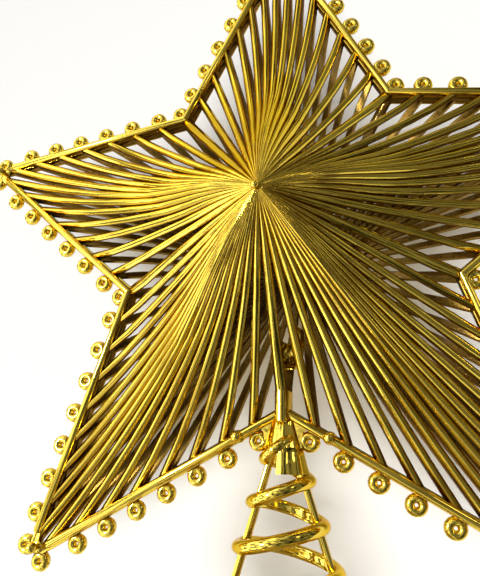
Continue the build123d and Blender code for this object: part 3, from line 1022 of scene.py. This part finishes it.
# The glow falls off from the left to the right, between two places across the tent.
BRIGHT_AT = -0.75 * TENT_RADIUS
DARK_AT = 0.4 * TENT_RADIUS
FALL_POWER = 1.6
FOLDS_PER_RADIUS = 4.5
fold_range = (0.44, 0.56)
fold_shade = (0.15, 2.1)
deselect()
bpy.ops.mesh.primitive_uv_sphere_add(segments=48, ring_count=24, radius=TENT_RADIUS)
tent = bpy.context.object
tent.name = "light_tent"
tent.visible_camera = False
tent.visible_diffuse = False
tent.visible_shadow = False
# Thin white cotton: it glows evenly where the lamp outside reaches it, and its folds are darker.
cloth, tree = new_material("tent_cloth")
place = add_node(tree, "ShaderNodeTexCoord").outputs["Object"]
split = add_node(tree, "ShaderNodeSeparateXYZ", None, {"Vector": place})
near = add_node(tree, "ShaderNodeMapRange", None, {
    "Value": split.outputs["X"], "From Min": DARK_AT, "From Max": BRIGHT_AT})
fall = add_node(tree, "ShaderNodeMath", {"operation": "POWER"}, {
    0: near.outputs["Result"], 1: FALL_POWER})
level = add_node(tree, "ShaderNodeMapRange", None, {
    "Value": fall.outputs[0], "To Min": TENT_RIGHT, "To Max": TENT_LEFT})
fold = add_node(tree, "ShaderNodeTexNoise", None, {
    "Vector": place, "Scale": FOLDS_PER_RADIUS / TENT_RADIUS, "Detail": 1.0})
shade = add_node(tree, "ShaderNodeMapRange", None, {
    "Value": fold.outputs["Fac"], "From Min": fold_range[0], "From Max": fold_range[1],
    "To Min": fold_shade[0], "To Max": fold_shade[1]})
drape = add_node(tree, "ShaderNodeMath", {"operation": "MULTIPLY"}, {
    0: level.outputs["Result"], 1: shade.outputs["Result"]})
glow = add_node(tree, "ShaderNodeEmission", None, {
    "Color": colour("#FFFFFF"), "Strength": drape.outputs[0]})
add_node(tree, "ShaderNodeOutputMaterial", None, {"Surface": glow.outputs["Emission"]})
tent.data.materials.append(cloth)

# %% Room
ROOM_SEEN = 0.95  # brightness of the room in the picture and in the metal
ROOM_FILL = 0.14  # what it gives to the paper
room = bpy.data.worlds.new("pale_room")
bpy.context.scene.world = room
room.use_nodes = True
tree = room.node_tree
tree.nodes.clear()
ray = add_node(tree, "ShaderNodeLightPath")
mirror = add_node(tree, "ShaderNodeMath", {"operation": "MAXIMUM"}, {
    0: ray.outputs["Is Glossy Ray"], 1: ray.outputs["Is Transmission Ray"]})
seen = add_node(tree, "ShaderNodeMath", {"operation": "MAXIMUM"}, {
    0: ray.outputs["Is Camera Ray"], 1: mirror.outputs[0]})
pale = add_node(tree, "ShaderNodeMapRange", None, {
    "Value": seen.outputs[0], "To Min": ROOM_FILL, "To Max": ROOM_SEEN})
air = add_node(tree, "ShaderNodeBackground", None, {
    "Color": colour("#FAF9F6"), "Strength": pale.outputs["Result"]})
add_node(tree, "ShaderNodeOutputWorld", None, {"Surface": air.outputs["Background"]})

# %% Lamps
LAMP_AIM = Vector((0, 0, 0.09))
# Name, place, size, watts and colour, and what each lamp doesn't show in: gloss or matt surfaces.
lamps = (
    ("paper_lamp", (0.12, -1.5, -0.35), 1.0, 28, "#FFFFFF", "visible_glossy"),
    ("key", (-0.37, -0.5, 0.11), 0.1, 2.2, "#FFFBF4", "visible_diffuse"),
    ("glint", (0.45, -0.45, 0.3), 0.1, 0.12, "#FFF4DC", "visible_diffuse"),
)
for name, place, size, power, code, hidden in lamps:
    deselect()
    bpy.ops.object.light_add(type="AREA", location=place)
    lamp = bpy.context.object
    lamp.name = name
    lamp.data.shape = "DISK"
    lamp.data.size = size
    lamp.data.energy = power
    lamp.data.color = colour(code)[:3]
    lamp.rotation_euler = (LAMP_AIM - Vector(place)).to_track_quat("-Z", "Y").to_euler()
    setattr(lamp, hidden, False)

# %% Camera
CAMERA_PLACE = Vector((22.25, -128.0, 45.75)) * MM
right = Vector((0.966, 0.2577, 0.0225)).normalized()
forward = Vector((-0.2533, 0.9248, 0.284)).normalized()
up = right.cross(forward).normalized()
right = forward.cross(up).normalized()
bpy.ops.object.camera_add(location=CAMERA_PLACE)
camera = bpy.context.object
camera.name = "camera"
camera.rotation_euler = Matrix((right, up, -forward)).transposed().to_euler()
camera.data.sensor_width = 36
camera.data.lens = 34.0
camera.data.shift_x = 0.011
camera.data.shift_y = -0.008
camera.data.clip_start = 0.005
bpy.context.scene.camera = camera
bpy.context.scene.view_settings.view_transform = "Standard"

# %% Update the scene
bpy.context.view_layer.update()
